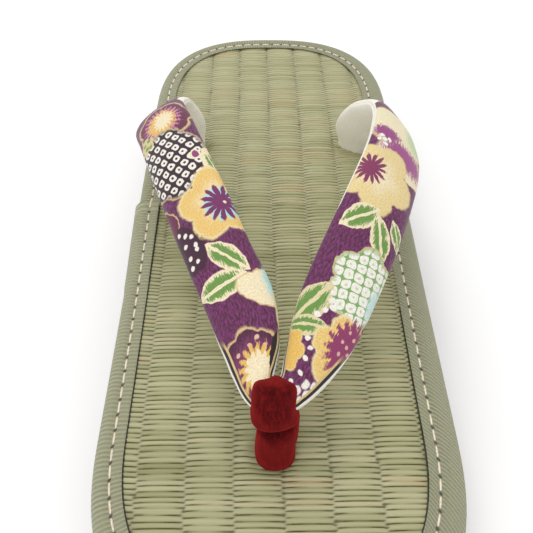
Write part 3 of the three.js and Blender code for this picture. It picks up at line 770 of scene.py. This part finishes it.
# The UV map is in mm: along the strap from the neck, right strap negative, and out from the crown's ridge.
fine = np.linspace(0, 2 * math.pi, STRAP_SEGMENTS * 4 + 1)
step_out, step_up = squarer(np.cos(fine)), squarer(np.sin(fine))
corner_vertex = np.empty(len(hanao.data.loops), dtype=int)
hanao.data.loops.foreach_get("vertex_index", corner_vertex)
girth = np.zeros(len(ball))
bulge = np.where(step_up < 0, 1 - CROWN_SHARE, CROWN_SHARE)
for k in range(STRAP_RINGS + 1):
    run_round = np.concatenate([[0], np.cumsum(np.hypot(np.diff(step_out * width[k] / 2),
                                                        np.diff(step_up * thick[k] * bulge)))])
    mine = ring == k
    top = np.interp(math.pi / 2, fine, run_round)
    # From the ridge to the outer edge it is positive, and past either edge it goes on under the strap.
    turned = np.where(spin[mine] > 1.5 * math.pi, spin[mine] - 2 * math.pi, spin[mine])
    run_at = np.where(turned >= 0, np.interp(turned, fine, run_round),
                      np.interp(turned + 2 * math.pi, fine, run_round) - run_round[-1])
    girth[mine] = top - run_at
placed = np.column_stack([ring_run[ring[corner_vertex]], girth[corner_vertex]])
hanao.data.uv_layers.active.data.foreach_set("uv", placed.ravel())
# Degrees past the strap's widest line, under it, and less than none on the crown.
under_edge = np.where(lining_side, np.where(c > 0, 2 * math.pi - spin, spin - math.pi),
                      -np.minimum(spin, np.abs(math.pi - spin)))
hanao.data.attributes.new("under_edge", "FLOAT", "POINT").data.foreach_set("value", np.degrees(under_edge))
face_outwards()
bpy.ops.object.shade_smooth()

# The crepe is silk chirimen, screen printed: purple ground, big cream, yellow and magenta blossoms, leaves,
# and patches that imitate kanoko tie-dye. Motifs are laid on the strap's own mm, with a soft outline.
PURPLE, AUBERGINE, MAGENTA, WINE = "#65234F", "#2C1320", "#8F3A78", "#641B42"
CREAM, YELLOW, GOLD, GREEN = "#EFE0BB", "#E2B85F", "#D9BC85", "#6A9344"
PALE_BLUE, WHITE, BLACK = "#A9D9DC", "#EFE9DF", "#1B0D16"
PRINT_WOBBLE = 1.3  # how far the hand-cut outlines wander, in mm

crepe, tree, shader = finish_named("printed silk chirimen crepe and white cotton lining")
cloth = node(tree, "ShaderNodeUVMap")
wobble = node(tree, "ShaderNodeTexNoise", {"Vector": cloth, "Scale": 0.45, "Detail": 3.0}, "Color")
wobble = node(tree, "ShaderNodeVectorMath", {0: wobble, 1: (0.5, 0.5, 0.5)}, operation="SUBTRACT")
wobble = node(tree, "ShaderNodeVectorMath", {0: wobble, "Scale": PRINT_WOBBLE}, operation="SCALE")
print_place = node(tree, "ShaderNodeVectorMath", {0: cloth, 1: wobble}, operation="ADD")
streaks = node(tree, "ShaderNodeMapping",
               {"Vector": cloth, "Rotation": (0, 0, 0.5), "Scale": (0.5, 2.4, 1.0)})
streaks = node(tree, "ShaderNodeTexNoise",
               {"Vector": streaks, "Scale": 1.0, "Detail": 4.0, "Roughness": 0.7})


def local(middle, radii, turn=0.0):
    """The cloth's place as seen from a motif: its middle at 0 and its half length and width at 1."""
    return node(tree, "ShaderNodeMapping", {
        "Vector": print_place, "Location": (*middle, 0), "Rotation": (0, 0, math.radians(turn)),
        "Scale": (*radii, 1)}, vector_type="TEXTURE")


def math_node(work, *values):
    """One step of arithmetic on the print's outlines."""
    return node(tree, "ShaderNodeMath", dict(enumerate(values)), operation=work)


def split(vector):
    """The two coordinates of a place on the cloth."""
    made = tree.nodes.new("ShaderNodeSeparateXYZ")
    tree.links.new(vector, made.inputs["Vector"])
    return made.outputs["X"], made.outputs["Y"]


def scalloped(middle, radii, lobes=0, scallop=0.0, turn=0.0):
    """How far out a point is in a round shape with lobes: 0 in the middle and 1 on the outline."""
    spot = local(middle, radii, turn)
    away = node(tree, "ShaderNodeVectorMath", {0: spot}, "Value", operation="LENGTH")
    if not lobes:
        return away
    x, y = split(spot)
    wave = math_node("MULTIPLY", math_node("ARCTAN2", y, x), lobes / 2)
    wave = math_node("ABSOLUTE", math_node("COSINE", wave))
    return math_node("DIVIDE", away, math_node("MULTIPLY_ADD", wave, scallop, 1 - scallop))


def printed(ground, ratio, colour, edge=1.0, soft=0.05, fray=0.0):
    """Prints a colour over the ground wherever ratio is below edge, fray makes its outline brushy."""
    if fray:
        ratio = math_node("MULTIPLY_ADD", math_node("SUBTRACT", streaks, 0.5), fray, ratio)
    ink = node(tree, "ShaderNodeMapRange", {
        "Value": ratio, "From Min": edge - soft, "From Max": edge + soft, "To Min": 1.0, "To Max": 0.0},
        interpolation_type="SMOOTHSTEP")
    if isinstance(colour, str):
        colour = linear(colour)
    return node(tree, "ShaderNodeMix", {0: ink, 6: ground, 7: colour}, 2, data_type="RGBA")


def blossom(ground, middle, radii, lobes, turn, rim, petal, tip, scallop=0.2):
    """A blossom with a rim line, and petals that shade from near the heart to the tips."""
    ratio = scalloped(middle, radii, lobes, scallop, turn)
    shaded = node(tree, "ShaderNodeMapRange", {"Value": math_node("MULTIPLY_ADD", streaks, 0.5, ratio),
                                               "From Min": 0.45, "From Max": 0.9})
    colour = node(tree, "ShaderNodeMix", {0: shaded, 6: linear(petal), 7: linear(tip)}, 2, data_type="RGBA")
    ground = printed(ground, ratio, rim)
    return printed(ground, ratio, colour, 0.92, 0.03)


def heart(ground, middle, radii, spokes, colour, turn=0.0, scallop=0.55, fray=0.0):
    """The spiky heart of a blossom."""
    return printed(ground, scalloped(middle, radii, spokes, scallop, turn), colour, 1.0, 0.08, fray)


def leaf(ground, middle, half_length, half_width_mm, turn, blade=GREEN, outline=CREAM):
    """A pointed leaf with a pale outline and a pale midrib."""
    x, y = split(local(middle, (half_length, half_width_mm), turn))
    x, y = math_node("ABSOLUTE", x), math_node("ABSOLUTE", y)
    belly = math_node("MAXIMUM", math_node("SUBTRACT", 1.0, math_node("MULTIPLY", x, x)), 0.001)
    ratio = math_node("MAXIMUM", math_node("DIVIDE", y, belly), x)
    ground = printed(ground, ratio, outline)
    ground = printed(ground, ratio, blade, 0.68, 0.1, 1.5)
    return printed(ground, math_node("MAXIMUM", ratio, math_node("DIVIDE", y, 0.13)), outline, 0.95, 0.1)


def kanoko(ground, ratio, cloth_colour, square, dot, pitch, turn, size=0.40):
    """A patch of tie-dyed squares, each with a dot in its middle, in rows that lie askew."""
    ground = printed(ground, ratio, cloth_colour)
    spot = local((0, 0), pitch, turn)
    spot = node(tree, "ShaderNodeVectorMath", {0: spot}, operation="FRACTION")
    spot = node(tree, "ShaderNodeVectorMath", {0: spot, 1: (0.5, 0.5, 0)}, operation="SUBTRACT")
    spot = node(tree, "ShaderNodeVectorMath", {0: spot, 1: (1, 1, 0)}, operation="MULTIPLY")
    x, y = split(node(tree, "ShaderNodeVectorMath", {0: spot}, operation="ABSOLUTE"))
    cube = math_node("ADD", math_node("POWER", x, 3.0), math_node("POWER", y, 3.0))
    tied = math_node("DIVIDE", math_node("POWER", cube, 1 / 3), size)
    away = node(tree, "ShaderNodeVectorMath", {0: spot}, "Value", operation="LENGTH")
    within = math_node("MULTIPLY", ratio, 1.04)
    ground = printed(ground, math_node("MAXIMUM", tied, within), square, 1.0, 0.08)
    return printed(ground, math_node("MAXIMUM", math_node("DIVIDE", away, 0.13), within), dot, 1.0, 0.2)


def dots(ground, spots, radius, colour):
    """A few single dots."""
    nearest = None
    for spot in spots:
        away = node(tree, "ShaderNodeVectorMath", {0: print_place, 1: (*spot, 0)}, "Value",
                    operation="DISTANCE")
        nearest = away if nearest is None else math_node("MINIMUM", nearest, away)
    return printed(ground, math_node("DIVIDE", nearest, radius), colour, 1.0, 0.2)


# The purple ground is painted darker and lighter in short diagonal dashes, which also bump the cloth: a
# painted sheen of the crepe's twisted yarns.
dashes = node(tree, "ShaderNodeMapping",
              {"Vector": cloth, "Rotation": (0, 0, 0.75), "Scale": (0.75, 2.3, 1.0)})
dashes = node(tree, "ShaderNodeTexNoise",
              {"Vector": dashes, "Scale": 1.0, "Detail": 2.0, "Roughness": 0.6})
art = ramp_of(tree, dashes, [(0.34, "#3B152C"), (0.5, PURPLE), (0.68, "#83357A")])

# Left strap, from its rear fold to the neck.
art = blossom(art, (98, -1.5), (12.0, 10.5), 7, 12, GOLD, "#9C4482", WINE, 0.12)
art = heart(art, (98, -1.0), (9.0, 7.2), 24, "#C77C9A", scallop=0.35, fray=1.2)
art = heart(art, (98, -1.0), (7.2, 5.6), 18, YELLOW, scallop=0.3, fray=0.9)
art = heart(art, (98.5, -1.8), (5.4, 3.8), 15, CREAM, scallop=0.35, fray=0.8)
patch = scalloped((78.5, 2.4), (15.5, 12.6), 7, 0.1, 25)
art = printed(art, patch, GOLD, 1.04, 0.02)
art = kanoko(art, patch, AUBERGINE, WHITE, AUBERGINE, (3.5, 2.9), 27, 0.36)
art = printed(art, scalloped((92.5, 6.4), (3.8, 3.4), 5, 0.25), "#D2C38E")
art = dots(art, [(94.0, 5.0), (91.2, 6.8), (93.6, 7.4), (90.6, 5.2)], 0.75, GREEN)
art = printed(art, scalloped((75.2, -6.8), (2.2, 1.8)), CREAM)
art = printed(art, scalloped((75.2, -6.8), (1.5, 1.1)), MAGENTA)
art = printed(art, scalloped((69.5, -11.0), (8.0, 3.6)), CREAM)
art = leaf(art, (70.0, -10.2), 5.6, 1.7, 6)
art = blossom(art, (57, 10.0), (7.0, 4.5), 4, 0, GOLD, WINE, WINE)
art = printed(art, scalloped((46.5, 6.5), (8.0, 6.0), 5, 0.15), "#3F1630")
art = blossom(art, (56.2, -7.0), (12.8, 12.2), 5, -2, "#EAD49A", CREAM, "#E7C273", 0.24)
art = heart(art, (54.6, -8.0), (6.0, 5.6), 13, PALE_BLUE, 14, 0.5, 1.0)
art = heart(art, (55, -7.6), (6.5, 6.0), 13, "#73295F", scallop=0.6)
art = dots(art, [(54.6, -8.4)], 0.55, CREAM)
art = dots(art, [(50.9, 5.6), (48.0, 6.8), (46.6, 3.6), (45.4, 3.9), (44.0, 6.9), (42.0, 5.0), (52.6, 7.4),
                 (49.6, 4.0), (41.2, 7.2)], 0.7, WHITE)
art = leaf(art, (39.2, -2.4), 7.2, 3.3, 33)
art = leaf(art, (32.6, 2.4), 7.6, 4.0, 94)
art = printed(art, scalloped((28.2, -7.9), (7.6, 5.1), 3, 0.16, 70), GOLD)
art = printed(art, scalloped((28.2, -7.9), (7.2, 4.7), 3, 0.16, 70), CREAM)
art = printed(art, scalloped((29.0, -11.4), (4.2, 3.2)), PALE_BLUE, 1.0, 0.4, 1.0)
art = printed(art, scalloped((20, -12.4), (9.5, 3.6)), "#E3D2A0")
art = blossom(art, (9.4, -1.5), (10.4, 8.6), 7, 10, GOLD, "#853064", "#4A1638", 0.12)
art = printed(art, scalloped((9.4, -1.5), (9.4, 7.6), 0, 0), "#7C3560", 0.7, 0.3, 1.4)
art = dots(art, [(14.5, -1.0), (14.0, -4.5), (12.6, 2.2), (8.0, 3.6), (16.0, -2.8), (5.0, 3.4), (11.0, 4.6)],
           0.55, "#E0B9A0")
art = heart(art, (8.4, -2.8), (6.6, 5.2), 17, YELLOW, scallop=0.35, fray=1.0)
art = heart(art, (8.2, -3.2), (5.0, 3.8), 13, CREAM, scallop=0.35, fray=0.8)
art = printed(art, scalloped((9.5, -8.6), (8.0, 2.9)), BLACK)

# Right strap, from its rear fold to the neck.
art = blossom(art, (-93, -4), (12.5, 13.5), 5, 0, GOLD, CREAM, "#E8DFB8", 0.14)
art = printed(art, scalloped((-96, 5.5), (7.5, 4.5)), "#B9CD98", 1.0, 0.4, 0.9)
art = printed(art, scalloped((-80.5, 3.0), (6.5, 12.0), 5, 0.1), CREAM)
art = printed(art, scalloped((-87.2, -6.6), (3.4, 4.6)), "#94397A", 1.0, 0.2, 2.0)
art = printed(art, scalloped((-82.0, 1.5), (4.6, 9.0)), "#9A4080", 1.0, 0.25, 2.2)
art = dots(art, [(-84.6, -8.2), (-83.4, -7.0), (-84.4, -5.6), (-82.6, -8.6), (-81.6, -6.4)], 0.75, "#F1ECE2")
art = blossom(art, (-69, -4.6), (13.2, 12.6), 5, 14, "#E3CC90", CREAM, "#E6CF93", 0.26)
art = heart(art, (-70, -7.8), (5.8, 5.0), 14, "#83305A", scallop=0.55, fray=0.6)
art = leaf(art, (-54.0, -4.6), 6.6, 3.7, -41)
art = leaf(art, (-51.0, 3.0), 7.4, 3.2, 27)
art = leaf(art, (-55.0, 7.4), 5.2, 2.2, 40)
patch = scalloped((-36, 4.2), (11.5, 9.8), 6, 0.16, 8)
art = printed(art, patch, "#D3BF85", 1.04, 0.02)
art = kanoko(art, patch, "#83A862", "#EFEDE2", "#CFCFA8", (2.75, 2.9), 8, 0.45)
art = printed(art, scalloped((-33.5, 9.0), (5.0, 2.4)), "#C4DFDC", 0.8, 0.5, 1.4)
art = leaf(art, (-26.6, -6.6), 7.6, 4.2, -27, outline="#E0D2A6")
art = leaf(art, (-20.8, -5.4), 5.8, 3.0, -75, outline="#E0D2A6")
art = dots(art, [(-31.1, -2.3), (-27.6, -0.8), (-29.2, -1.6), (-24.6, -3.6), (-26.4, -2.2)], 0.78, WHITE)
art = blossom(art, (-12.6, -8.0), (7.0, 5.4), 7, 0, "#E5CB86", "#E4B95E", "#E4B95E", 0.22)
art = blossom(art, (-17.6, 5.8), (10.4, 8.4), 6, 20, "#E9D5A0", "#E4BD6B", "#E8C578", 0.2)
art = heart(art, (-19.2, 6.8), (8.2, 6.0), 17, "#8E3562", scallop=0.25, fray=1.1)
art = dots(art, [(-21.0, 4.6), (-17.8, 5.0), (-18.9, 7.6), (-15.0, 6.4), (-22.6, 7.6), (-20.2, 6.2),
                 (-16.6, 8.4), (-24.0, 5.6)], 0.5, "#DDAFA0")
art = dots(art, [(-17.7, -3.5), (-15.7, -1.9), (-12.7, -2.2), (-8.6, -2.0), (-5.6, -2.9)], 0.68, WHITE)
art = dots(art, [(-5.1, -0.5), (-7.2, 0.4), (-5.9, 2.2), (-4.0, 1.5), (-8.0, 2.6)], 1.0, WHITE)

below = node(tree, "ShaderNodeAttribute", out="Fac", attribute_name="under_edge")
side_run, out = split(cloth)
run = math_node("ABSOLUTE", side_run)
# Numbers from here to the crepe's edge are degrees past the strap's widest line, and mm along it. The
# lining shows as a white rim along the outer edges near the neck, and along the inner edge at the fold.
rim_out = node(tree, "ShaderNodeMapRange", {"Value": out, "From Min": 0.0, "From Max": 1.0})
rim_near = node(tree, "ShaderNodeMapRange", {
    "Value": run, "From Min": 5.0, "From Max": 27.0, "To Min": 58.0, "To Max": 4.0})
rim_right = node(tree, "ShaderNodeMapRange", {
    "Value": side_run, "From Min": -56.0, "From Max": -50.0, "To Min": 13.0, "To Max": 0.0})
rim_right = math_node("MULTIPLY", rim_right, math_node("SUBTRACT", 1.0, rim_out))
rim_in = node(tree, "ShaderNodeMapRange", {
    "Value": out, "From Min": -1.0, "From Max": 1.0, "To Min": 38.0, "To Max": 0.0})
rim_fold = node(tree, "ShaderNodeMapRange", {"Value": run, "From Min": 109.0, "From Max": 113.0})
past = math_node("MULTIPLY_ADD", rim_out, rim_near, below)
past = math_node("ADD", math_node("MULTIPLY_ADD", rim_in, rim_fold, past), rim_right)
# Near the neck the crepe's turned edge carries a gold and a black line.
near_neck = math_node("DIVIDE", run, 17.0)
for colour, line_starts in ((GOLD, -0.6), (BLACK, 0.2)):
    line = math_node("MULTIPLY_ADD", past, -0.1, line_starts)
    art = printed(art, math_node("MAXIMUM", near_neck, line), colour, 1.0, 0.1)

# The crepe's yarns are twisted hard, so the cloth pebbles, and its high points catch the light.
pebble = node(tree, "ShaderNodeTexNoise", {"Vector": cloth, "Scale": 2.1, "Detail": 3.0, "Roughness": 0.6})
light = node(tree, "ShaderNodeMapRange", {
    "Value": pebble, "From Min": 0.3, "From Max": 0.7, "To Min": 0.78, "To Max": 1.12})
art = node(tree, "ShaderNodeMix", {0: 1.0, 6: art, 7: light}, 2, data_type="RGBA", blend_type="MULTIPLY")
lining = node(tree, "ShaderNodeTexNoise", {"Vector": cloth, "Scale": 1.4, "Detail": 4.0})
lining = ramp_of(tree, lining, [(0.3, "#F1EBDD"), (0.7, "#FBF8F0")])
crepe_edge = node(tree, "ShaderNodeMapRange", {
    "Value": past, "From Min": math.degrees(EDGE_TURN) - 1.5, "From Max": math.degrees(EDGE_TURN) + 1.5})
shade = node(tree, "ShaderNodeMix", {0: crepe_edge, 6: art, 7: lining}, 2, data_type="RGBA")
weave = node(tree, "ShaderNodeMath", {0: pebble, 1: dashes}, operation="ADD")
bump = node(tree, "ShaderNodeBump", {"Height": weave, "Strength": 0.55, "Distance": 0.22 * MM})
tree.links.new(shade, shader.inputs["Base Color"])
tree.links.new(bump, shader.inputs["Normal"])
shader.inputs["Roughness"].default_value = 0.72
shader.inputs["Sheen Weight"].default_value = 0.25
shader.inputs["Sheen Roughness"].default_value = 0.4
hanao.data.materials.append(crepe)
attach(hanao, "root")
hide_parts("hanao_strap")

# ==== Toe post ====
# A tube of red velvet over a cord goes over the neck and back down, and both its ends go through one hole
# in the mat. The loop is drawn tight, so it is pinched where its two legs meet under the neck.
LOBE_ENDS = 5.5  # 2 is an ellipse from end to end, more is blunter
LOBE_SIDES = 3.4  # and the same for how soon it fills out
LOBES = [
    # name, middle (x, from the heel, up), half sizes, and the lean back from upright in degrees
    {"name": "velvet_loop", "x": -1.15, "from_heel": 194.7, "up": 19.4, "half": (5.5, 4.8, 5.9), "lean": 36},
    {"name": "velvet_leg", "x": -0.75, "from_heel": 198.3, "up": 5.2, "half": (5.0, 4.3, 8.1), "lean": 9},
    {"name": "velvet_back_leg", "x": 0.5, "from_heel": 195.2, "up": 8.6, "half": (4.5, 3.2, 8.6), "lean": 4},
]
velvet_parts = []
for number, lobe in enumerate(LOBES):
    bpy.ops.object.select_all(action="DESELECT")
    bpy.ops.mesh.primitive_uv_sphere_add(segments=72, ring_count=72)
    part = bpy.context.object
    part.name = lobe["name"]
    ball = points_of(part)
    level = ball[:, 2]
    girth = np.clip(1 - np.abs(level) ** 2, 0, 1) ** 0.5
    fuller = (1 - np.abs(level) ** LOBE_ENDS) ** (1 / LOBE_SIDES) / np.maximum(girth, 1e-6)
    fuller = np.where(girth > 1e-6, fuller, 0)
    # The cord inside isn't even, so soft lumps show through the pile.
    lumps = 1 + 0.025 * np.sin(5 * ball[:, 0] + 3 * level + number)
    lumps = lumps + 0.02 * np.sin(7 * ball[:, 1] - 4 * level)
    shape = ball * np.column_stack([fuller, fuller, np.ones_like(fuller)]) * lumps[:, None]
    shape = shape * np.array(lobe["half"])
    lean = math.radians(lobe["lean"])
    y = shape[:, 1] * math.cos(lean) + shape[:, 2] * math.sin(lean)
    up = shape[:, 2] * math.cos(lean) - shape[:, 1] * math.sin(lean)
    put_points(part, on_bed(lobe["x"] + shape[:, 0], BED_FROM_HEEL - lobe["from_heel"] + y, lobe["up"] + up))
    bpy.ops.object.shade_smooth()
    velvet_parts.append(part)

# Rayon velvet: deep red where the pile is seen end on, and bright where it is stroked aside. Toward the
# outline,
# where it turns away, it is lighter red: a painted sheen.
# The strokes are 1 to 4 mm long and the pile's tufts 0.3 mm across.
velvet, tree, shader = finish_named("red rayon velvet, short pile")
place = node(tree, "ShaderNodeTexCoord", out="Object")
nap = node(tree, "ShaderNodeMapping", {"Vector": place, "Scale": (900.0, 500.0, 260.0)})
stroked = node(tree, "ShaderNodeTexNoise", {"Vector": nap, "Scale": 1.0, "Detail": 6.0, "Roughness": 0.7})
pile = node(tree, "ShaderNodeTexNoise", {"Vector": place, "Scale": 3200.0, "Detail": 2.0})
both = node(tree, "ShaderNodeMath", {0: pile, 1: 0.35, 2: stroked}, operation="MULTIPLY_ADD")
shade = ramp_of(tree, both, [(0.48, "#2A0507"), (0.66, "#48090B"), (0.86, "#701416")])
# A painted sheen: the colour goes lighter red where the surface turns away from the camera.
painted_edge_sheen = node(tree, "ShaderNodeLayerWeight", {"Blend": 0.35}, "Facing")
shade = node(tree, "ShaderNodeMix", {0: painted_edge_sheen, 6: shade, 7: linear("#9A1F20")}, 2, data_type="RGBA")
bump = node(tree, "ShaderNodeBump", {"Height": both, "Strength": 0.7, "Distance": 0.3 * MM})
tree.links.new(shade, shader.inputs["Base Color"])
tree.links.new(bump, shader.inputs["Normal"])
shader.inputs["Roughness"].default_value = 1.0
shader.inputs["Specular IOR Level"].default_value = 0.1
shader.inputs["Sheen Weight"].default_value = 0.12
shader.inputs["Sheen Tint"].default_value = linear("#E05050")
for part in velvet_parts:
    part.data.materials.append(velvet)
    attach(part, "root")
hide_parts("toe_post")
